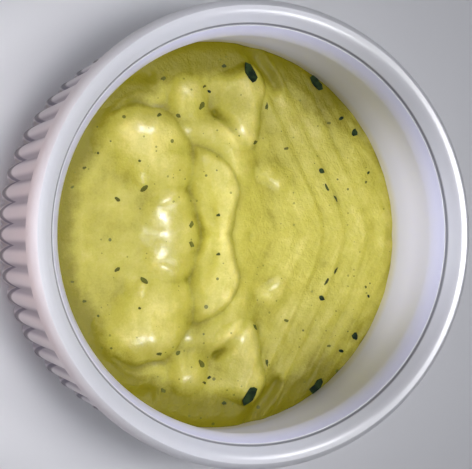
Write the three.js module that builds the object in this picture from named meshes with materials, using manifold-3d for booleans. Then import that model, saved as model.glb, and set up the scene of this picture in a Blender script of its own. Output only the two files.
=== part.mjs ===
// A white porcelain ramekin with a fluted wall, part filled with a thick creamy green salsa.
// Millimetres, +Z up, origin at the centre of the foot on the table.
// The bowl is one solid and the salsa in it is another. The herb flecks stand proud of the salsa
// and are one solid with it.
import * as THREE from "three";
import { mergeVertices } from "three/addons/utils/BufferGeometryUtils.js";
import Module from "manifold-3d";

const wasm = await Module();
wasm.setup();

// ---- driving dimensions ----------------------------------------------------------------------

const HEIGHT = 43; // foot to rim
const RIM_RADIUS = 45; // widest point of the plain band round the rim
const FOOT_RADIUS = 38.8; // plain foot under the flutes
const FLUTES = 60; // ribs round the wall

const BAND_HEIGHT = 4; // plain band above the flutes
const TOP_RADIUS = 43.4; // the highest line of the rim, which is rounded over on both sides
const TOP_INNER_RADIUS = 42.2; // where the rim starts to slope inwards
const TOP_INNER_DROP = 0.35;
const GROOVE_OUTER_RADIUS = 40.5; // fine groove at the foot of that slope
const GROOVE_INNER_RADIUS = 39.95;
const GROOVE_DROP = 1.75;
const GROOVE_DEPTH = 0.55;
const LIP_RADIUS = 38.1; // the narrowest point of the mouth, under the rim
const LIP_DROP = 5.6;

const FLUTE_TOP_RADIUS = 43.6; // crest radius just under the band
const FLUTE_FOOT_RADIUS = 40; // crest radius at the lower end
const FLUTE_DEPTH = 0.85; // crest to valley
const FLUTE_FOOT_Z = 3; // lower end of the flutes
const FOOT_RECESS = 1.2; // hollow under the base
const FOOT_RECESS_RADIUS = 33.2;

const CAVITY_RADIUS = 38.4; // inside wall at its widest, well under the lip
const CAVITY_WIDE_Z = 19;
const FLOOR_Z = 4.6; // inside floor
const FLOOR_RADIUS = 31.5; // flat part of the inside floor
const CAVITY_LOW_RADIUS = 36.4; // inside wall where the floor's fillet starts
const CAVITY_LOW_Z = 9.5;

const SALSA_LEVEL = 18.7; // height of the salsa at the wall
const CLEARANCE = 0.3; // gap between the salsa and the bowl

const ROUND_SEGMENTS = 80; // sides of a smooth turned surface
const SALSA_SEGMENTS = 80; // sides of the salsa's edge
const SALSA_CELL = 1.4; // spacing of the grid that carries the salsa's relief

// ---- helpers ---------------------------------------------------------------------------------

const point = (radius, z) => new THREE.Vector2(radius, z);

// A solid for joining and cutting, made from a closed three.js geometry.
function solidOf(geometry) {
  const bare = geometry.clone();
  bare.deleteAttribute("normal");
  bare.deleteAttribute("uv");
  const merged = mergeVertices(bare, 1e-4);
  return new wasm.Manifold(
    new wasm.Mesh({
      numProp: 3,
      vertProperties: new Float32Array(merged.attributes.position.array),
      triVerts: new Uint32Array(merged.index.array),
    }),
  );
}

function geometryOf(solid) {
  const mesh = solid.getMesh();
  const geometry = new THREE.BufferGeometry();
  geometry.setAttribute("position", new THREE.BufferAttribute(mesh.vertProperties, 3));
  geometry.setIndex(new THREE.BufferAttribute(mesh.triVerts, 1));
  geometry.computeVertexNormals();
  return geometry;
}

// A turned solid about Z. The profile starts and ends on the axis and runs from bottom to top.
function turned(profile, segments) {
  const geometry = new THREE.LatheGeometry(profile, segments);
  geometry.rotateX(Math.PI / 2);
  return solidOf(geometry);
}

// Points of a quarter-ellipse between two profile points, bulging towards the corner.
function roll(from, corner, to, steps) {
  const curve = new THREE.QuadraticBezierCurve(from, corner, to);
  return curve.getPoints(steps).slice(1);
}

// ---- bowl ------------------------------------------------------------------------------------

const bandFootZ = HEIGHT - BAND_HEIGHT;

// Everything of the bowl's outside that is turned: foot, plain core under the flutes, band, rim.
function outerProfile() {
  const coreTopRadius = FLUTE_TOP_RADIUS - FLUTE_DEPTH - 0.4;
  return [
    point(0, FOOT_RECESS),
    point(FOOT_RECESS_RADIUS, FOOT_RECESS),
    point(FOOT_RECESS_RADIUS + 0.6, 0),
    point(FOOT_RADIUS - 0.6, 0),
    point(FOOT_RADIUS, 0.7),
    point(FOOT_RADIUS + 0.3, FLUTE_FOOT_Z + 0.6),
    point(coreTopRadius, bandFootZ - 0.4),
    point(RIM_RADIUS - 0.9, bandFootZ),
    point(RIM_RADIUS - 0.25, bandFootZ + 0.25),
    point(RIM_RADIUS, bandFootZ + 0.9),
    ...roll(point(RIM_RADIUS, HEIGHT - 2.3), point(RIM_RADIUS, HEIGHT - 0.5), point(TOP_RADIUS, HEIGHT), 4),
    point(0, HEIGHT),
  ];
}

// The hollow, from the floor up to the lip under the rim.
function cavityProfile(gap) {
  return [
    point(0, FLOOR_Z + gap),
    point(FLOOR_RADIUS - gap, FLOOR_Z + gap),
    ...roll(
      point(FLOOR_RADIUS - gap, FLOOR_Z + gap),
      point(CAVITY_LOW_RADIUS - gap - 0.4, FLOOR_Z + gap),
      point(CAVITY_LOW_RADIUS - gap, CAVITY_LOW_Z),
      4,
    ),
    point(CAVITY_RADIUS - gap, CAVITY_WIDE_Z),
    point(LIP_RADIUS - gap, HEIGHT - LIP_DROP),
  ];
}

// The hollow with the mouth above it: the inner roll, the fine groove and the sloping rim.
function cavity() {
  const grooveZ = HEIGHT - GROOVE_DROP - GROOVE_DEPTH;
  return turned(
    [
      ...cavityProfile(0),
      ...roll(
        point(LIP_RADIUS, HEIGHT - LIP_DROP),
        point(LIP_RADIUS + 0.1, grooveZ - 1.6),
        point(GROOVE_INNER_RADIUS, grooveZ),
        4,
      ),
      point((GROOVE_INNER_RADIUS + GROOVE_OUTER_RADIUS) / 2, grooveZ - 0.05),
      point(GROOVE_OUTER_RADIUS, HEIGHT - GROOVE_DROP),
      point(TOP_INNER_RADIUS, HEIGHT - TOP_INNER_DROP),
      point(TOP_RADIUS, HEIGHT),
      point(TOP_RADIUS, HEIGHT + 2),
      point(0, HEIGHT + 2),
    ],
    ROUND_SEGMENTS,
  );
}

// The fluted wall: one outline of rounded ribs, lofted from its lower ring to its upper ring.
function flutedWall() {
  const steps = 4; // points to a rib
  const outline = new THREE.Shape();
  for (let i = 0; i < FLUTES * steps; i += 1) {
    const angle = (i / (FLUTES * steps)) * 2 * Math.PI;
    const crest = Math.abs(Math.cos((angle * FLUTES) / 2)) ** 0.8;
    const radius = FLUTE_TOP_RADIUS - FLUTE_DEPTH * (1 - crest);
    if (i === 0) outline.moveTo(radius, 0);
    else outline.lineTo(radius * Math.cos(angle), radius * Math.sin(angle));
  }
  outline.closePath();
  const depth = bandFootZ + 0.3 - FLUTE_FOOT_Z;
  const wall = new THREE.ExtrudeGeometry(outline, { depth, bevelEnabled: false, steps: 1 });
  const position = wall.attributes.position;
  const taper = 1 - FLUTE_FOOT_RADIUS / FLUTE_TOP_RADIUS;
  for (let i = 0; i < position.count; i += 1) {
    const shrink = 1 - taper * (1 - position.getZ(i) / depth);
    position.setX(i, position.getX(i) * shrink);
    position.setY(i, position.getY(i) * shrink);
  }
  wall.translate(0, 0, FLUTE_FOOT_Z);
  return solidOf(wall);
}

// ---- salsa relief ----------------------------------------------------------------------------
// A height is in millimetres above SALSA_LEVEL. The folds lie in mirrored pairs, so each is given
// for +Y and the relief is worked out from the distance to the centre line.

const SMOOTHED_CENTRE = 0.4; // rounds the fold of the mirror image at the centre line
const FOLD_FRONT = 0.75; // share of a side's reach over which a steep side rounds over

// A fold: the middle of its crest, the way its outer side faces in degrees from +X, the radius
// its crest bends with, half its crest's length, how far its ends reach past that, how wide its
// outer and inner sides are, how high it rises, and how steep those two sides are, from 0 to 1.
const folds = [
  // the two broad swells under the rest
  { at: [-13, 8], way: 0, bend: 60, half: 10, tip: 12, wide: [10, 17], rise: 0.7, steep: [0, 0] },
  { at: [1.5, 10], way: 0, bend: 40, half: 8, tip: 10, wide: [11, 9], rise: 1.1, steep: [0.2, 0] },
  // the big lump and the long one on the centre line beside it
  { at: [-12.8, 18.4], way: 45, bend: 6, half: 4.5, tip: 9, wide: [6.2, 12], rise: 2, steep: [0.7, 0] },
  { at: [-7.7, 0], way: 0, bend: 80, half: 6, tip: 3.4, wide: [3.5, 10], rise: 1.3, steep: [0.6, 0] },
  // the fold that lies round the curled lobe, the lobe with its sharp edge, and its raised back
  { at: [0.2, 19.6], way: 58, bend: 10, half: 8.2, tip: 4, wide: [4.6, 4.6], rise: 1, steep: [0.1, 0.3] },
  { at: [2.1, 8.6], way: 16, bend: 10.2, half: 8, tip: 4.6, wide: [2.2, 8.5], rise: 1.25, steep: [0.8, 0] },
  { at: [-3, 4.2], way: -170, bend: 50, half: 4.5, tip: 3, wide: [1.2, 2.2], rise: 0.2, steep: [0.4, 0] },
  // along the wall: a small dome and a tongue
  { at: [-5.6, 26.8], way: 90, bend: 3, half: 0.8, tip: 4.2, wide: [4.6, 4.6], rise: 1.5, steep: [0.2, 0.2] },
  { at: [6.2, 25.3], way: -2, bend: 25, half: 5.5, tip: 3.6, wide: [3.8, 7], rise: 1.7, steep: [0.8, 0.1] },
  // a small peak on the far side
  { at: [12.4, 11.2], way: -120, bend: 3, half: 0.8, tip: 3.5, wide: [3, 4.5], rise: 0.7, steep: [0.3, 0] },
  // hollows: under the lobe, between it and the long lump, behind the lobe, by the wall, beside
  // the tongue's end (two) and along its far side
  { at: [-1, 0], way: 0, bend: 60, half: 3, tip: 6, wide: [7, 4], rise: -0.5, steep: [0, 0] },
  { at: [-4.4, 0], way: 0, bend: 30, half: 3.5, tip: 2, wide: [1.5, 1.5], rise: -0.4, steep: [0, 0] },
  { at: [-5.6, 12], way: 180, bend: 60, half: 4, tip: 2.5, wide: [1.4, 1.4], rise: -0.2, steep: [0, 0] },
  { at: [-15.2, 31.2], way: 90, bend: 10, half: 1.5, tip: 3, wide: [2.6, 2.6], rise: -0.6, steep: [0, 0] },
  { at: [3.4, 21.4], way: 36, bend: 40, half: 4, tip: 2, wide: [1.9, 1.9], rise: -0.55, steep: [0, 0] },
  { at: [1.4, 23.6], way: 60, bend: 5, half: 0.8, tip: 1.6, wide: [2, 2], rise: -0.35, steep: [0, 0] },
  { at: [9.8, 33.5], way: 34, bend: 51, half: 4.8, tip: 2.6, wide: [2.6, 2.6], rise: -0.7, steep: [0, 0] },
];

// The spoon's marks run slantwise over the far side, in a chevron rounded at the centre line.
const MARK_SLANT = 0.53; // how far a mark runs towards the near side per unit of Y
const MARK_TURN = 6; // rounding of the chevron's point
const MARK_SPACING = 4.7;
const FIRST_MARK = 26.6; // where the first mark's chevron would meet the centre line
const MARK_HEIGHT = 0.16;
const MARK_FADE = 0.22; // how fast the marks get weaker from one to the next

const clamp = THREE.MathUtils.clamp;

function spoonMarks(x, y) {
  const across = x + MARK_SLANT * Math.hypot(y, MARK_TURN);
  const turns = (across - FIRST_MARK) / MARK_SPACING;
  const ramp = turns - Math.floor(turns); // 0 just past an edge, 1 just before the next
  const tooth = ramp < 0.8 ? ramp / 0.8 : (1 - ramp) / 0.2;
  const strength = clamp((turns + 1) / 0.8, 0, 1) * Math.exp(-MARK_FADE * Math.max(0, turns));
  return MARK_HEIGHT * strength * (tooth - 0.5);
}

// The height that one fold adds at a place.
function foldHeight(fold, x, y) {
  const face = THREE.MathUtils.degToRad(fold.way);
  const fromX = x - fold.at[0] + fold.bend * Math.cos(face);
  const fromY = y - fold.at[1] + fold.bend * Math.sin(face);
  const fromCentre = Math.hypot(fromX, fromY);
  const around = Math.atan2(fromY, fromX) - face;
  const turn = THREE.MathUtils.euclideanModulo(around + Math.PI, 2 * Math.PI) - Math.PI;
  const pastEnd = Math.max(Math.abs(turn) - fold.half / fold.bend, 0);
  const beyond = (fromCentre * Math.sin(Math.min(pastEnd, Math.PI / 2))) / fold.tip;
  const offCrest = fromCentre * Math.cos(pastEnd) - fold.bend;
  const across = offCrest / fold.wide[offCrest > 0 ? 0 : 1];
  const far = Math.hypot(across, beyond);
  const outward = 0.5 + (0.5 * across) / Math.max(far, 0.001);
  const away = Math.min(far, 1);
  const steep = THREE.MathUtils.lerp(fold.steep[1], fold.steep[0], outward);
  const gentle = 0.5 + 0.5 * Math.cos(Math.PI * away);
  const rounded = 1 - clamp(1 - (1 - away) / FOLD_FRONT, 0, 1) ** 2;
  return fold.rise * THREE.MathUtils.lerp(gentle, rounded, steep);
}

function relief(x, y) {
  const side = Math.hypot(y, SMOOTHED_CENTRE);
  return folds.reduce((height, fold) => height + foldHeight(fold, x, side), spoonMarks(x, side));
}

// ---- herb flecks -----------------------------------------------------------------------------
// Centre, length, width and turn of the long side from +X in degrees. The largest ones only.

const FLECK_THICKNESS = 0.7;
const flecks = [
  { at: [7, 32], size: [3.9, 2], turn: -64 },
  { at: [21.8, 30.4], size: [3.3, 2.1], turn: -53 },
  { at: [30.1, 20.4], size: [2, 1.3], turn: 75 },
  { at: [27.1, 23.3], size: [1.2, 1], turn: 20 },
  { at: [22.9, 12.8], size: [1.2, 1], turn: 0 },
  { at: [-2.9, 25.4], size: [1.7, 1.1], turn: 50 },
  { at: [-10.7, 30.6], size: [1.2, 1], turn: 30 },
  { at: [2.1, 33.3], size: [1.2, 1], turn: 0 },
  { at: [11.1, 25.6], size: [1.4, 1], turn: 85 },
  { at: [8.2, 18.2], size: [1.3, 1], turn: 35 },
  { at: [-7.8, 23.4], size: [1.2, 1], turn: -40 },
  { at: [-5.2, 2.1], size: [1.5, 1], turn: 55 },
  { at: [-15, 9.1], size: [1.8, 1], turn: 45 },
];

function fleckSolid({ at, size, turn }, side) {
  const leaf = new THREE.SphereGeometry(0.5, 6, 4);
  leaf.rotateX(Math.PI / 2);
  leaf.scale(size[0], size[1], FLECK_THICKNESS * 2);
  leaf.rotateZ((side * turn * Math.PI) / 180);
  leaf.translate(at[0], side * at[1], SALSA_LEVEL + relief(at[0], side * at[1]));
  return solidOf(leaf);
}

// ---- salsa -----------------------------------------------------------------------------------

function salsaSolid() {
  const width = 2 * (CAVITY_RADIUS + 1);
  const cells = Math.round(width / SALSA_CELL);
  const depth = 40;
  const block = new THREE.BoxGeometry(width, width, depth, cells, cells, 1);
  block.translate(0, 0, SALSA_LEVEL - depth / 2);
  const position = block.attributes.position;
  for (let i = 0; i < position.count; i += 1) {
    if (position.getZ(i) > 0) {
      position.setZ(i, SALSA_LEVEL + relief(position.getX(i), position.getY(i)));
    }
  }
  const fill = turned([...cavityProfile(CLEARANCE), point(0, HEIGHT - LIP_DROP)], SALSA_SEGMENTS);
  let salsa = solidOf(block);
  for (const side of [1, -1]) {
    for (const fleck of flecks) salsa = salsa.add(fleckSolid(fleck, side));
  }
  return salsa.intersect(fill);
}

// ---- assembly --------------------------------------------------------------------------------

const porcelain = new THREE.MeshStandardMaterial({ color: 0xe6e6ee, roughness: 0.15, metalness: 0 });
const cream = new THREE.MeshStandardMaterial({ color: 0xc9c268, roughness: 0.35, metalness: 0 });

function part(name, solid, material) {
  const mesh = new THREE.Mesh(geometryOf(solid), material);
  mesh.name = name;
  return mesh;
}

const bowl = turned(outerProfile(), ROUND_SEGMENTS).add(flutedWall()).subtract(cavity());

const salsaBowl = new THREE.Group();
salsaBowl.add(part("bowl", bowl, porcelain));
salsaBowl.add(part("salsa", salsaSolid(), cream));

export default salsaBowl;
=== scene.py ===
import math

import bmesh
import bpy
import numpy as np
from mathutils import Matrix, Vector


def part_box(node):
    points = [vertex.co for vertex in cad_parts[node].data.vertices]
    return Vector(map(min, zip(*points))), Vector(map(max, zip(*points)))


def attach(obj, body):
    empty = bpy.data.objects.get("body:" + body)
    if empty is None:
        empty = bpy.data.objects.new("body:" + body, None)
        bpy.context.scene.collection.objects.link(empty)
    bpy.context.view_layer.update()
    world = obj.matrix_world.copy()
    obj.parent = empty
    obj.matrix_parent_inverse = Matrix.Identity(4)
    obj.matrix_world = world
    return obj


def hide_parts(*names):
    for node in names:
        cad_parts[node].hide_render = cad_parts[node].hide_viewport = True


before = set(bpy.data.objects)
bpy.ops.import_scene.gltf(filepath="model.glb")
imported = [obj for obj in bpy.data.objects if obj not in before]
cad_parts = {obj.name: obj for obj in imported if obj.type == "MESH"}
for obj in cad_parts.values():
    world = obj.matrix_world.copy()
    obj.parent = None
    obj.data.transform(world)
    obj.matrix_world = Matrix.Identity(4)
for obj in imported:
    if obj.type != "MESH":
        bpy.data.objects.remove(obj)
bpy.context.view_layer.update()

# ---- the bowl --------------------------------------------------------------------------------
# A small round ramekin of white porcelain, slip cast in one piece and dipped in a clear glaze:
# a plain band round the rim, a wall of fine upright ribs under it, and a plain foot.
# Inside the flat rim a fine ledge leads to a wall that is nearly upright.

MM = 0.001

BOWL_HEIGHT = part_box("bowl")[1][2]
SALSA_LEVEL = 18.7  # where the salsa meets the bowl's wall, in millimetres

RIB_COUNT = 60
POINTS_PER_RIB = 10
RIB_DEPTH = 0.85 * MM
RIB_BREADTH = 0.8  # power of the cosine across a rib: less than 1 makes broad ribs, narrow grooves
RIB_TOP_RADIUS = 43.6 * MM  # crest of a rib just under the band
RIB_FOOT_RADIUS = 40 * MM  # crest of a rib at its lower end
RIB_TOP_Z = BOWL_HEIGHT - 4.1 * MM
RIB_FOOT_Z = 3 * MM
RIB_END = 0.9 * MM  # radius that a rib's lower end is rounded with
BAND_OVERLAP = 0.05 * MM  # points up to this far above the ribs' top still follow them
OUTER_SKIN = 2 * MM  # points no further in than this from the ribs' crests are the outer wall's
WALL_PARTS = 13  # rings of faces up the ribbed wall
CORNER_PARTS = 6  # faces round each rounded corner of the outline
JOIN = 0.001 * MM  # points nearer than this are one

# radius, height below the rim, and how far back its corner starts to round, from the middle of
# the underside round the foot, up the outside, over the rim and down to the middle of the floor
BOWL_OUTLINE = [
    (0, 41.8, 0),
    (33.2, 41.8, 0.3),
    (33.8, 43, 0.2),
    (38.2, 43, 0.5),
    (38.8, 40.2, 0.3),
    (39.3, 39.4, 0.3),
    (43.6, 4.1, 0.3),
    (45, 4, 0.7),
    (45, 0.9, 1.5),
    (43.7, 0, 0.7),
    (42.2, 0.35, 0.8),
    (40.5, 1.75, 0.1),
    (40.25, 2.35, 0.1),
    (39.95, 2.3, 0.12),
    (38.1, 4.3, 1.8),
    (38.2, 9, 0),
    (38.4, 24, 0),
    (36.4, 33.5, 5),
    (32.5, 38.4, 3),
    (0, 38.4, 0),
]


def new_piece(name, bm):
    """An object made of what the bmesh holds."""
    mesh = bpy.data.meshes.new(name)
    bm.to_mesh(mesh)
    bm.free()
    piece = bpy.data.objects.new(name, mesh)
    bpy.context.collection.objects.link(piece)
    return piece


def smooth_shaded(piece):
    piece.data.polygons.foreach_set("use_smooth", [True] * len(piece.data.polygons))


def rounded_outline(bm, outline):
    """Edges along the outline in the XZ plane, each corner rounded as far back as it says."""
    corners = [bm.verts.new((radius * MM, 0, BOWL_HEIGHT - drop * MM)) for radius, drop, _ in outline]
    for start, end in zip(corners, corners[1:]):
        bm.edges.new((start, end))
    for corner, (_, _, back) in zip(corners, outline):
        if back:
            bmesh.ops.bevel(bm, geom=[corner], offset=back * MM, offset_type="OFFSET",
                            segments=CORNER_PARTS, profile=0.5, affect="VERTICES", material=-1)


def rib_height(angle):
    """How far a ribbed wall stands out at an angle, from 0 in a groove to 1 on a crest."""
    return np.abs(np.cos(angle * RIB_COUNT / 2)) ** RIB_BREADTH


def press_ribs(piece):
    """Moves the points of the outer wall in to the grooves between the ribs."""
    place = np.empty(len(piece.data.vertices) * 3)
    piece.data.vertices.foreach_get("co", place)
    place = place.reshape(-1, 3)
    radius = np.hypot(place[:, 0], place[:, 1])
    height = place[:, 2]
    crest = np.interp(height, [RIB_FOOT_Z, RIB_TOP_Z], [RIB_FOOT_RADIUS, RIB_TOP_RADIUS])
    lower_end = np.clip((height - RIB_FOOT_Z) / RIB_END, 0, 1)
    ribbed = (height > RIB_FOOT_Z) & (height < RIB_TOP_Z + BAND_OVERLAP)
    outside = (radius > crest - OUTER_SKIN) & ribbed
    angle = np.arctan2(place[:, 1], place[:, 0])
    drop = RIB_DEPTH * (1 - rib_height(angle))
    rounded = crest - RIB_END * (1 - np.sqrt(1 - (1 - lower_end) ** 2)) - drop
    pull = np.where(outside, rounded / np.maximum(radius, MM), 1)
    place[:, 0] *= pull
    place[:, 1] *= pull
    piece.data.vertices.foreach_set("co", place.ravel())
    piece.data.update()
    # how deep in a groove each point of the outer wall lies, which sets the painted shade between the
    # ribs
    rib_shade = np.where(outside, 1 - rib_height(angle), 0)
    piece.data.attributes.new("rib_shade", "FLOAT", "POINT").data.foreach_set("value", rib_shade)


bm = bmesh.new()
rounded_outline(bm, BOWL_OUTLINE)
tall = BOWL_HEIGHT / 2  # only the outer wall's edge is as tall as this
wall = [edge for edge in bm.edges if abs(edge.verts[0].co.z - edge.verts[1].co.z) > tall]
bmesh.ops.subdivide_edges(bm, edges=wall, cuts=WALL_PARTS - 1)
one_rib = 2 * math.pi / RIB_COUNT
bmesh.ops.spin(bm, geom=bm.verts[:] + bm.edges[:], cent=(0, 0, 0), axis=(0, 0, 1), angle=one_rib,
               steps=POINTS_PER_RIB)
bmesh.ops.spin(bm, geom=bm.verts[:] + bm.edges[:] + bm.faces[:], cent=(0, 0, 0), axis=(0, 0, 1),
               angle=2 * math.pi - one_rib, steps=RIB_COUNT - 1, use_duplicate=True)
bmesh.ops.remove_doubles(bm, verts=bm.verts[:], dist=JOIN)
bmesh.ops.recalc_face_normals(bm, faces=bm.faces[:])
bowl = new_piece("ramekin", bm)
press_ribs(bowl)
smooth_shaded(bowl)


class Level:
    """A number that varies over a surface. Arithmetic on it adds Math nodes."""

    def __init__(self, finish, socket):
        self.finish = finish
        self.socket = socket

    def maths(self, operation, *values):
        return self.finish.add("ShaderNodeMath", {"operation": operation}, list(values))

    def __add__(self, other):
        return self.maths("ADD", self, other)

    def __sub__(self, other):
        return self.maths("SUBTRACT", self, other)

    def __rsub__(self, other):
        return self.maths("SUBTRACT", other, self)

    def __mul__(self, other):
        return self.maths("MULTIPLY", self, other)

    def __truediv__(self, other):
        return self.maths("DIVIDE", self, other)

    def __pow__(self, other):
        return self.maths("POWER", self, other)

    def __lt__(self, other):
        return self.maths("LESS_THAN", self, other)

    def __gt__(self, other):
        return self.maths("GREATER_THAN", self, other)

    __radd__ = __add__

    def ramp(self, low, high):
        """0 up to low, 1 from high on, and a smooth rise between them."""
        settings = {"interpolation_type": "SMOOTHSTEP"}
        return self.finish.add("ShaderNodeMapRange", settings, [self, low, high, 0, 1])


class Finish:
    """A procedural material. add() makes any node and gives one of its outputs."""

    def __init__(self, name):
        self.material = bpy.data.materials.new(name)
        self.material.use_nodes = True
        self.tree = self.material.node_tree
        self.surface = self.tree.nodes["Principled BSDF"]
        self.place = self.add("ShaderNodeTexCoord", {}, {}, "Object").socket

    def add(self, kind, settings, values, output=0):
        node = self.tree.nodes.new(kind)
        for name, setting in settings.items():
            setattr(node, name, setting)
        pairs = values.items() if isinstance(values, dict) else enumerate(values)
        for name, value in pairs:
            self.feed(node.inputs[name], value)
        return Level(self, node.outputs[output])

    def feed(self, target, value):
        if isinstance(value, Level):
            value = value.socket
        if isinstance(value, bpy.types.NodeSocket):
            self.tree.links.new(value, target)
        else:
            target.default_value = value

    def axes(self):
        split = self.add("ShaderNodeSeparateXYZ", {}, [self.place])
        return [Level(self, socket) for socket in split.socket.node.outputs]

    def attribute(self, name):
        return self.add("ShaderNodeAttribute", {"attribute_name": name}, {}, "Fac")

    def noise(self, scale, detail=2, roughness=0.5, where=None):
        values = {"Vector": where or self.place, "Scale": scale, "Detail": detail, "Roughness": roughness}
        return self.add("ShaderNodeTexNoise", {}, values, "Fac")

    def mix(self, amount, first, second):
        """A colour between two colours."""
        settings = {"data_type": "RGBA"}
        mixed = self.add("ShaderNodeMix", settings, {0: amount, 6: first, 7: second}, 2)
        return mixed.socket

    def set(self, **values):
        for name, value in values.items():
            self.feed(self.surface.inputs[name.replace("_", " ")], value)

    def bump(self, height, strength, distance):
        values = {"Height": height, "Strength": strength, "Distance": distance}
        self.set(Normal=self.add("ShaderNodeBump", {}, values))


def shade(red, green, blue):
    """A colour as the eye names it, 0 to 255 a channel, in the renderer's own scale."""
    parts = [part / 255 for part in (red, green, blue)]
    return [part / 12.92 if part < 0.04045 else ((part + 0.055) / 1.055) ** 2.4 for part in parts] + [1]


WHITE_GLAZE = shade(223, 223, 227)
CLOUDED_GLAZE = shade(217, 217, 223)
# painted cool light: the inside is tinted blue to offset the yellow light the salsa throws on the wall
COOL_LIT_INSIDE_GLAZE = shade(214, 213, 232)
SHADED_GLAZE = shade(172, 172, 176)  # low down inside, where little light reaches
RIB_SHADE_GLAZE = shade(104, 100, 124)  # painted shade in the grooves between the ribs
# painted shade in the fine groove inside the rim
GROOVE_SHADE_GREY = shade(104, 104, 112)
SALSA_SMEAR = shade(196, 186, 140)

INSIDE_RADIUS = 39.9 * MM
INSIDE_FLOOR = 5 * MM
GROOVE_INNER = (39.95 * MM, 40.15 * MM)  # between these the painted shade of the fine groove comes in
GROOVE_OUTER = (40.35 * MM, 40.6 * MM)  # and between these it goes out
SHADE_TOP = 11.3  # how far above the salsa the shade inside reaches, in millimetres
SMEAR_TOP = 3.8  # how far above it the smear of salsa on the wall reaches

glaze = Finish("porcelain_glaze")
x, y, z = glaze.axes()
radius = (x * x + y * y) ** 0.5
tone = glaze.mix(glaze.noise(30, 3).ramp(0.35, 0.7), CLOUDED_GLAZE, WHITE_GLAZE)
inside = (radius < INSIDE_RADIUS) * (z > INSIDE_FLOOR)
# the inside gets the painted cool light's blue tint
tone = glaze.mix(inside, tone, COOL_LIT_INSIDE_GLAZE)
above_salsa = (z - SALSA_LEVEL * MM) / MM
shaded = inside * (1 - above_salsa.ramp(0.3, SHADE_TOP))
tone = glaze.mix(shaded * 0.45, tone, SHADED_GLAZE)
smear = inside * (1 - above_salsa.ramp(-0.2, SMEAR_TOP)) * glaze.noise(90, 3).ramp(0.25, 0.5)
tone = glaze.mix(smear * 0.7, tone, SALSA_SMEAR)
# painted shade along the fine groove, which is also made rougher
groove = radius.ramp(*GROOVE_INNER) * (1 - radius.ramp(*GROOVE_OUTER))
tone = glaze.mix(groove * 0.85, tone, GROOVE_SHADE_GREY)
# painted shade, darker deeper in the grooves between the ribs
rib_shade = glaze.attribute("rib_shade")
tone = glaze.mix(rib_shade.ramp(0.05, 0.6) * 0.7, tone, RIB_SHADE_GLAZE)
glaze.set(Base_Color=tone, Roughness=glaze.noise(160, 3) * 0.08 + 0.26 + groove * 0.3)
glaze.surface.inputs["IOR"].default_value = 1.5
glaze.bump(glaze.noise(220, 2), 0.12, 0.1 * MM)

bowl.data.materials.append(glaze.material)
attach(bowl, "root")
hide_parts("bowl")

# ---- the salsa -------------------------------------------------------------------------------
# A thick cream with chopped herbs stirred in, spooned into the bowl so that it lies in soft folds
# that sit in mirrored pairs. The spoon's marks slant over the far side. Sizes are in millimetres.

SALSA_EDGE_RADIUS = 38.5  # just into the bowl's wall, so that no gap shows
SALSA_CELLS = 300  # squares across the surface
CELL = 2 * SALSA_EDGE_RADIUS / SALSA_CELLS

# A fold: the middle of its crest, the way its outer side faces in degrees from +X, the radius its
# crest bends with, half its crest's length, how far its ends, its outer side and its inner side
# reach, its height, and how steep its outer and inner sides are, from 0 to 1. Each has its mirror
# image on the other half.
FOLDS = [
    ((-13, 8), 0, 60, 10, 12, 10, 17, 0.7, 0, 0),
    ((1.5, 10), 0, 40, 8, 10, 11, 9, 1.1, 0.2, 0),
    ((-12.8, 18.4), 45, 6, 4.5, 9, 6.2, 12, 2.0, 0.7, 0),
    ((-7.7, 0), 0, 80, 6, 3.4, 3.5, 8.5, 1.3, 0.6, 0),
    ((0.2, 19.6), 58, 10, 8.2, 4, 4.6, 4.6, 1.0, 0.1, 0.3),
    ((2.1, 8.6), 16, 10.2, 8, 4.6, 2.2, 8.5, 1.25, 0.8, 0),
    ((-3.0, 4.2), -170, 50, 4.5, 3, 1.2, 2.2, 0.2, 0.4, 0),
    ((-5.6, 12), 180, 60, 4, 2.5, 1.4, 1.4, -0.2, 0, 0),
    ((-5.6, 26.8), 90, 3, 0.8, 4.2, 4.6, 4.6, 1.5, 0.2, 0.2),
    ((6.2, 25.3), -2, 25, 5.5, 3.6, 3.8, 7, 1.7, 0.8, 0.1),
    ((12.4, 11.2), -120, 3, 0.8, 3.5, 3, 4.5, 0.7, 0.3, 0),
    ((-15.2, 31.2), 90, 10, 1.5, 3, 2.6, 2.6, -0.6, 0, 0),
    ((3.4, 21.4), 36, 40, 4, 2, 1.9, 1.9, -0.55, 0, 0),
    ((1.4, 23.6), 60, 5, 0.8, 1.6, 2, 2, -0.35, 0, 0),
    ((-4.4, 0), 0, 30, 3.5, 2, 1.5, 1.5, -0.4, 0, 0),
    ((9.8, 33.5), 34, 51, 4.8, 2.6, 2.6, 2.6, -0.7, 0, 0),
    ((-16.3, 26.1), 96, 11.1, 4.5, 2, 0.9, 0.9, -0.25, 0, 0),
    ((-16.1, 27.4), 99, 12.6, 3.9, 2, 0.9, 0.9, 0.15, 0, 0),
    ((7.1, 0), 0, 3, 0.4, 2, 1.9, 1.9, -0.25, 0, 0),
    ((-16.2, 10.4), 180, 3, 0.4, 1.8, 2, 2, 0.3, 0, 0),
    ((-1, 0), 0, 60, 3, 6, 7, 4, -0.5, 0, 0),
]
FOLD_FRONT = 0.75  # share of a side's reach over which a steep side rounds over

MARK_SLANT = 0.53  # how far a mark runs towards the near side per unit of Y
MARK_TURN = 6  # how rounded a mark's point on the centre line is
MARK_SPACING = 4.7
FIRST_MARK = 26.6  # where the first mark would cross the centre line if its point weren't rounded
MARK_HEIGHT = 0.16
MARK_RISE = 0.8  # share of a mark's width over which it rises before it drops
MARK_START = 0.8  # share of the first mark's width over which the marks come in
MARK_FADE = 0.22  # how fast they weaken towards the far side, from one mark to the next

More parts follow.
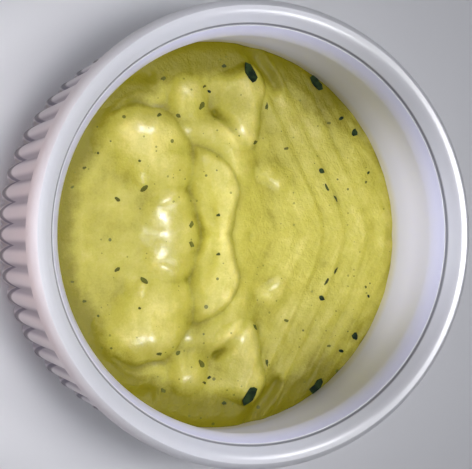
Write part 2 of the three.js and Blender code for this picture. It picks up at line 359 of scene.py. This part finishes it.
EDGE_DIP = 0.9  # how far the surface drops to the wall at the +Y and -Y sides
EDGE_DIP_SHARE = 0.25  # how much of that drop the near and far sides have
EDGE_WIDTH = 3
CENTRE_ROUNDING = 0.4  # rounds the crease where the mirrored halves meet

# reach and strength of the random unevenness of the folds' outlines and of their tops
WAVER_REACH = 2.2
WAVER = 0.35
MARK_WAVER = 0.3  # how much of it the spoon's marks share
LUMP_REACH = 1.3
LUMP = 0.07

# the wettest places, each with its twin on the other half: middle, reach, and how wet from 0 to 1
WET_PLACES = [
    ((-15, 22), 2.8, 1),
    ((-12, 24.2), 1.4, 1),
    ((-16.8, 10.5), 1.8, 0.8),
    ((-9.8, 5.8), 2, 0.9),
    ((-10.6, 1.8), 3.8, 1),
    ((-5.6, 29.4), 1.8, 1),
    ((-6.2, 20), 1.3, 0.6),
    ((6, 20.2), 1.6, 1),
    ((-3.4, 15), 1.1, 0.5),
    ((12.6, 10.6), 2.2, 0.5),
]

# radius and height of the salsa's lower part, hidden in the bowl
SALSA_BODY = [(38.4, 16), (36.4, 9.6), (32.5, 4.65)]


def local_mean(field, reach):
    """The field blurred over a reach in millimetres."""
    turns = np.fft.fftfreq(len(field), CELL)
    keep = np.exp(-2 * (math.pi * reach * turns) ** 2)
    return np.fft.ifft2(np.fft.fft2(field) * keep[:, None] * keep[None, :]).real


def soft_random(seed, reach):
    """A smooth random field, the same on both halves, mostly between -2 and 2."""
    field = np.random.default_rng(seed).standard_normal((SALSA_CELLS + 1, SALSA_CELLS + 1))
    field = local_mean(field + field[::-1], reach)
    return field / field.std()


def spoon_marks(x, y):
    """The height of the marks, which rise slowly and drop quickly, one after the other."""
    turns = (x + MARK_SLANT * np.hypot(y, MARK_TURN) - FIRST_MARK) / MARK_SPACING
    part = turns - np.floor(turns)
    tooth = np.where(part < MARK_RISE, part / MARK_RISE, (1 - part) / (1 - MARK_RISE))
    strength = np.clip((turns + 1) / MARK_START, 0, 1) * np.exp(-MARK_FADE * np.maximum(0, turns))
    return MARK_HEIGHT * strength * (tooth - 0.5)


def fold(x, y, middle, facing, bend, half_length, tip, outer, inner, rise, outer_steep, inner_steep):
    """The height that one fold adds."""
    face = math.radians(facing)
    from_x = x - middle[0] + bend * math.cos(face)
    from_y = y - middle[1] + bend * math.sin(face)
    from_centre = np.hypot(from_x, from_y)
    turn = (np.arctan2(from_y, from_x) - face + math.pi) % (2 * math.pi) - math.pi
    past_end = np.maximum(np.abs(turn) - half_length / bend, 0)
    beyond = from_centre * np.sin(np.minimum(past_end, math.pi / 2)) / tip
    off_crest = from_centre * np.cos(past_end) - bend
    off_crest = np.where(off_crest > 0, off_crest / outer, off_crest / inner)
    away = np.hypot(off_crest, beyond)
    outward = 0.5 + 0.5 * off_crest / np.maximum(away, 0.001)
    away = np.minimum(away, 1)
    steep = inner_steep + (outer_steep - inner_steep) * outward
    gentle = 0.5 + 0.5 * np.cos(math.pi * away)
    rounded = 1 - np.clip(1 - (1 - away) / FOLD_FRONT, 0, 1) ** 2
    return rise * (gentle + (rounded - gentle) * steep)


def relief(x, y):
    """The height of the salsa's surface over its level."""
    side = np.hypot(y, CENTRE_ROUNDING)
    wavy_x = x + WAVER * soft_random(1, WAVER_REACH)
    wavy_y = side + WAVER * soft_random(2, WAVER_REACH)
    marked_x = (1 - MARK_WAVER) * x + MARK_WAVER * wavy_x
    height = spoon_marks(marked_x, side) + LUMP * soft_random(3, LUMP_REACH)
    for shape in FOLDS:
        height = height + fold(wavy_x, wavy_y, *shape)
    radius = np.hypot(x, y)
    edge = np.clip((radius - SALSA_EDGE_RADIUS + EDGE_WIDTH) / EDGE_WIDTH, 0, 1)
    share = EDGE_DIP_SHARE + (1 - EDGE_DIP_SHARE) * (y / np.maximum(radius, 1)) ** 2
    return height - EDGE_DIP * share * edge ** 2


def on_disc(coordinate, other):
    """A coordinate of the square grid's points, drawn in to the salsa's round edge."""
    drawn_in = coordinate * np.sqrt(1 - other ** 2 / 2) * SALSA_EDGE_RADIUS
    return drawn_in.reshape(SALSA_CELLS + 1, -1)


bm = bmesh.new()
bmesh.ops.create_grid(bm, x_segments=SALSA_CELLS, y_segments=SALSA_CELLS, size=1)
place = np.array([vert.co for vert in bm.verts])
across = on_disc(place[:, 0], place[:, 1])
along = on_disc(place[:, 1], place[:, 0])
height = relief(across, along)
for vert, x, y, z in zip(bm.verts, across.ravel(), along.ravel(), height.ravel()):
    vert.co = (x * MM, y * MM, (SALSA_LEVEL + z) * MM)
rim = [edge for edge in bm.edges if edge.is_boundary]
for radius, level in SALSA_BODY:
    lower = bmesh.ops.extrude_edge_only(bm, edges=rim)["geom"]
    rim = [part for part in lower if isinstance(part, bmesh.types.BMEdge)]
    for vert in {vert for edge in rim for vert in edge.verts}:
        vert.co *= radius * MM / math.hypot(vert.co.x, vert.co.y)
        vert.co.z = level * MM
base = bmesh.ops.extrude_edge_only(bm, edges=rim)["geom"]
base = [part for part in base if isinstance(part, bmesh.types.BMVert)]
bmesh.ops.pointmerge(bm, verts=base, merge_co=(0, 0, SALSA_BODY[-1][1] * MM))
bmesh.ops.recalc_face_normals(bm, faces=bm.faces[:])
salsa = new_piece("salsa_cream", bm)
smooth_shaded(salsa)

# Painted light and shade: pale where the cream stands above what is round it, dark in hollows and by the
# wall.
BROAD_REACH = 4.6
FINE_REACH = 0.8
SHADE_RADIUS = 30  # where the shade by the wall starts
SHADE_RADIUS_NEAR = 27.5  # where it starts at the near side
SHADE_WIDTH = 6
SHADE_DEPTH = 1.2
SHADE_MOST = 1.3  # most of its strength, reached away from the far side, where there is no shade
SHADE_RISE = 0.4  # how gradually its strength rises from there

broad = height - local_mean(height, BROAD_REACH)
fine = height - local_mean(height, FINE_REACH)
radius = np.hypot(across, along)
far_side = across / np.maximum(radius, 1)  # 1 at the far side, -1 at the near side
near_side = np.clip(-far_side, 0, 1)
shade_starts = SHADE_RADIUS - (SHADE_RADIUS - SHADE_RADIUS_NEAR) * near_side
by_wall = np.clip((radius - shade_starts) / SHADE_WIDTH, 0, 1)
by_wall *= np.clip((1 - far_side) / SHADE_RISE, 0, SHADE_MOST)
# painted light and shade: up on the crests, down in the hollows and by the wall
stands = 0.5 * broad + fine - SHADE_DEPTH * by_wall + 0.05
wet = np.zeros(height.shape)
for middle, reach, share in WET_PLACES:
    off = np.hypot(across - middle[0], np.abs(along) - middle[1]) / reach
    wet = np.maximum(wet, share * np.exp(-(off ** 2)))
for name, field in (("crest", stands), ("wet", wet)):
    values = np.zeros(len(salsa.data.vertices))
    values[: height.size] = field.ravel()  # the surface's points come first in the mesh
    salsa.data.attributes.new(name, "FLOAT", "POINT").data.foreach_set("value", values)

# the cream's colour with painted shade in its hollows and by the wall, and painted light on its crests
SHADED_HOLLOW_CREAM = shade(132, 124, 10)
CREAM = shade(190, 181, 74)
LIT_CREST_CREAM = shade(234, 221, 130)
HERB_DOT = shade(104, 110, 26)
DARK_HERB_DOT = shade(74, 84, 26)
STREAK_SHAPE = 0.15  # width of a streak along the spoon's marks, as a share of its length

cream = Finish("salsa_cream")
# crest holds the painted light and shade
crest = cream.attribute("crest")
x, y, z = cream.axes()
mottle = cream.noise(420, 4, 0.65)
grain = cream.noise(2600, 2, 0.5)
patch = cream.noise(110, 2)
slant = x.ramp(-8 * MM, 12 * MM) * MARK_SLANT  # comes in from the middle to the far side
over_marks = x + y.maths("ABSOLUTE", y) * slant
drawn_out = cream.add("ShaderNodeCombineXYZ", {}, [over_marks, y * STREAK_SHAPE, z * STREAK_SHAPE])
streak = cream.noise(420, 3, 0.6, where=drawn_out)
streaked = (streak - 0.5) * (x.ramp(4 * MM, 14 * MM) * 0.7 + 0.5)
# painted light and shade, with random tone and streaks along the spoon's marks
shade_and_tone = crest + streaked + (patch - 0.5) * 1.1 + (mottle - 0.5) * 0.9 + (grain - 0.5) * 0.4
shaded_tone = cream.mix(shade_and_tone.ramp(-1.1, 0.1), SHADED_HOLLOW_CREAM, CREAM)
tone = cream.mix(shade_and_tone.ramp(-0.1, 1.2), shaded_tone, LIT_CREST_CREAM)


def specks(spacing, share, size):
    """Dots of chopped herb: 1 inside a dot. Spacing and size are in millimetres."""
    cells = {"Vector": cream.place, "Scale": 1000 / spacing}
    near = cream.add("ShaderNodeTexVoronoi", {}, cells, "Distance")
    chance = cream.add("ShaderNodeSeparateColor", {}, [near.socket.node.outputs["Color"]], 0)
    reach = (chance - (1 - share)) / share * size / spacing
    return (near < reach) * (chance > 1 - share)


tone = cream.mix(specks(1.3, 0.35, 0.26) * 0.6, tone, HERB_DOT)
tone = cream.mix(specks(2.4, 0.3, 0.42) * 0.75, tone, DARK_HERB_DOT)
cream.set(Base_Color=tone, Roughness=0.48 - shade_and_tone.ramp(-0.5, 0.6) * 0.12)
wet = cream.attribute("wet")
cream.set(Coat_Weight=wet.ramp(0.05, 1) * (mottle.ramp(0.35, 0.6) * 0.7 + 0.3))
cream.surface.inputs["Subsurface Weight"].default_value = 0.4
cream.surface.inputs["Subsurface Radius"].default_value = (1, 0.8, 0.25)
cream.surface.inputs["Subsurface Scale"].default_value = 1.2 * MM
cream.surface.inputs["Coat Roughness"].default_value = 0.27
cream.surface.inputs["Specular IOR Level"].default_value = 0.12
cream.bump(grain * 0.6 + cream.noise(1000, 3, 0.6) * 2 + streaked * 1.5, 0.55, 0.14 * MM)
salsa.data.materials.append(cream.material)
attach(salsa, "root")
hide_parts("salsa")

# ---- the chopped herbs -----------------------------------------------------------------------
# Small scraps of leaf stirred into the cream. The ones at its surface lie flat in it, each with
# its twin on the other half. Sizes are in millimetres.

# middle, length, width, and turn in degrees
FLECKS = [
    ((7, 32), 3.9, 2.0, -64),
    ((21.8, 30.4), 3.3, 2.1, -53),
    ((30.1, 20.4), 2.0, 1.3, 75),
    ((27.1, 23.3), 1.0, 0.8, 20),
    ((22.9, 12.8), 1.2, 1.0, 0),
    ((-2.9, 25.4), 1.7, 1.1, 50),
    ((-10.7, 30.6), 1.1, 0.8, 30),
    ((2.1, 33.3), 0.9, 0.7, 0),
    ((11.1, 25.6), 1.4, 0.5, 85),
    ((8.2, 18.2), 1.3, 0.7, 35),
    ((-7.8, 23.4), 1.1, 0.7, -40),
    ((-11.9, 23.3), 1.0, 0.7, 20),
    ((0.2, 3.8), 0.7, 0.7, 0),
    ((-5.2, 2.1), 1.5, 0.8, 55),
    ((-15, 9.1), 1.8, 0.9, 45),
    ((-20.4, 6.9), 1.2, 0.8, -35),
    ((-26.8, 12.9), 0.7, 0.5, 10),
    ((-24.2, 15.9), 0.6, 0.5, 70),
    ((-16.2, 14.5), 0.6, 0.5, 0),
    ((-29.4, 9.3), 0.8, 0.5, 20),
    ((-2.1, 29.3), 0.9, 0.5, 30),
    ((-1.1, 28.1), 0.8, 0.5, -30),
    ((15.2, 17.1), 0.9, 0.6, 15),
    ((32.9, 12.3), 0.7, 0.5, 60),
    ((32.4, 10.5), 0.6, 0.5, 60),
    ((24.4, 22.4), 0.7, 0.5, 0),
    ((23.9, 9.3), 1.6, 0.4, -60),
    ((25.9, 7.3), 1.5, 0.4, -60),
]
BARE_FLECKS = 5  # the first ones lie bare, the rest under a film of cream
FILM_SHARE = 0.3  # how much of the cream's colour the thickest film gives a fleck
FLECK_SIDES = 9
RAGGEDNESS = 0.2
FLECK_THICKNESS = 0.25
FLECK_STANDS = 0.12  # how far its top stands out of the cream

bm = bmesh.new()
under = bm.verts.layers.float.new("under")  # how much cream lies over a fleck
random = np.random.default_rng(11)
for number, (middle, length, width, turn) in enumerate(FLECKS):
    stretches = 1 + RAGGEDNESS * random.standard_normal(FLECK_SIDES)
    covered = 0 if number < BARE_FLECKS else FILM_SHARE * random.random()
    for side in (1, -1):
        cell = np.argmin((across - middle[0]) ** 2 + (along - side * middle[1]) ** 2)
        spot = salsa.data.vertices[int(cell)]
        outline = bmesh.ops.create_circle(bm, cap_ends=True, radius=0.5, segments=FLECK_SIDES)["verts"]
        for vert, stretch in zip(outline, stretches):
            vert.co *= stretch
            vert[under] = covered
        bmesh.ops.scale(bm, verts=outline, vec=(length * MM, width * MM, MM))
        turned = Matrix.Rotation(math.radians(side * turn), 4, "Z")
        leaning = Vector((0, 0, 1)).rotation_difference(spot.normal).to_matrix().to_4x4()
        bmesh.ops.transform(bm, verts=outline, matrix=leaning @ turned)
        bmesh.ops.translate(bm, verts=outline, vec=spot.co + spot.normal * FLECK_STANDS * MM)
        face = outline[0].link_faces[:1]
        sunk = bmesh.ops.extrude_face_region(bm, geom=face)["geom"]
        sunk = [part for part in sunk if isinstance(part, bmesh.types.BMVert)]
        bmesh.ops.translate(bm, verts=sunk, vec=-spot.normal * FLECK_THICKNESS * MM)
bmesh.ops.recalc_face_normals(bm, faces=bm.faces[:])
flecks = new_piece("herb_flecks", bm)

DARK_LEAF = shade(18, 32, 20)
PALE_LEAF = shade(46, 64, 34)
CREAM_FILM = shade(186, 178, 62)

leaf = Finish("chopped_leaf")
blotch = leaf.noise(700, 3)
green = leaf.mix(blotch.ramp(0.35, 0.65), DARK_LEAF, PALE_LEAF)
leaf.set(Base_Color=leaf.mix(leaf.attribute("under"), green, CREAM_FILM))
leaf.set(Roughness=0.6 + blotch * 0.2)
leaf.surface.inputs["Specular IOR Level"].default_value = 0.06
leaf.bump(leaf.noise(1500, 2), 0.3, 0.1 * MM)
flecks.data.materials.append(leaf.material)
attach(flecks, "root")
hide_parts("salsa")

# ---- the table, the light and the camera -----------------------------------------------------
# A pale, plain, matt top under soft light from above, seen from over the bowl and a little to its
# near side. Places are in metres.

TABLE_HALF_WIDTH = 3

bm = bmesh.new()
bmesh.ops.create_grid(bm, x_segments=1, y_segments=1, size=TABLE_HALF_WIDTH)
table = new_piece("table", bm)
top = Finish("table_top")
top.set(Base_Color=shade(232, 232, 236), Roughness=0.6)
table.data.materials.append(top.material)


def hang(name, kind, place, target, power, colour):
    """A lamp at a place, aimed at a target. Gives the lamp's own settings and its fixture."""
    lamp = bpy.data.lights.new(name, kind)
    lamp.energy = power
    lamp.color = colour
    fixture = bpy.data.objects.new(name, lamp)
    fixture.location = place
    aim = Vector(target) - Vector(place)
    fixture.rotation_euler = aim.to_track_quat("-Z", "Y").to_euler()
    bpy.context.collection.objects.link(fixture)
    return lamp, fixture


COOL_WHITE = (0.97, 0.97, 1)
BLUE_WHITE = (0.86, 0.88, 1)
PALE_BLUE = (0.8, 0.83, 1)
WARM_RED = (1, 0.42, 0.28)
BOWL_MIDDLE = (0, 0, 0.03)
PANEL_SIZE = 0.06

# small panels that only make the highlights: place and power
for name, place, power in (
    ("glint", (0.02, 0, 0.42), 1.7),
    ("glint_up", (0.1, 0.19, 0.37), 1),
    ("glint_down", (0.1, -0.19, 0.37), 1),
):
    panel, fixture = hang(name, "AREA", place, BOWL_MIDDLE, power, COOL_WHITE)
    panel.shape = "SQUARE"
    panel.size = PANEL_SIZE
    fixture.visible_diffuse = False

# soft spots that only light the surfaces: place, target, half angle, size, power and colour
for name, place, target, half_angle, size, power, colour in (
    ("key_near", (-0.06, 0, 0.38), (-0.036, 0, 0.04), 8, 0.05, 6.6, COOL_WHITE),
    ("key_far", (0.04, 0, 0.38), (0.02, 0, 0.04), 11, 0.05, 2.2, COOL_WHITE),
    ("kicker", (-0.3, 0, 0.2), (0.038, 0, 0.022), 4.4, 0.008, 4.6, BLUE_WHITE),
    ("side_up", (-0.02, -0.3, 0.2), (-0.005, 0.038, 0.028), 4.6, 0.008, 1.8, PALE_BLUE),
    ("side_down", (-0.02, 0.3, 0.2), (-0.005, -0.038, 0.028), 4.6, 0.008, 1.8, PALE_BLUE),
    ("blush", (-0.34, 0, 0.03), (-0.045, 0, 0.034), 9, 0.02, 1.1, WARM_RED),
):
    spot, fixture = hang(name, "SPOT", place, target, power, colour)
    spot.spot_size = 2 * math.radians(half_angle)
    spot.spot_blend = 1
    spot.shadow_soft_size = size
    fixture.visible_glossy = False

world = bpy.data.worlds.new("room")
world.use_nodes = True
room_light = world.node_tree.nodes["Background"].inputs
room_light["Color"].default_value = (0.93, 0.95, 1, 1)
room_light["Strength"].default_value = 0.3
bpy.context.scene.world = world

CAMERA_TILT = math.radians(20.25)  # off straight down, leaning to the near side
CAMERA_DISTANCE = 0.6
CAMERA_AIM = (-4.4 * MM, 0, 43 * MM)
SCALE_AT_AIM = 5.266 / MM  # photograph pixels to a metre
PHOTO_WIDTH = 472  # pixels
SENSOR_WIDTH = 36  # millimetres

camera_data = bpy.data.cameras.new("camera")
camera_data.sensor_width = SENSOR_WIDTH
camera_data.lens = SCALE_AT_AIM * CAMERA_DISTANCE * SENSOR_WIDTH / PHOTO_WIDTH
camera = bpy.data.objects.new("camera", camera_data)
camera.location = (
    CAMERA_AIM[0] - CAMERA_DISTANCE * math.sin(CAMERA_TILT),
    0,
    CAMERA_AIM[2] + CAMERA_DISTANCE * math.cos(CAMERA_TILT),
)
camera.rotation_euler = (0, -CAMERA_TILT, 0)
bpy.context.collection.objects.link(camera)
bpy.context.scene.camera = camera
bpy.context.scene.view_settings.view_transform = "Standard"
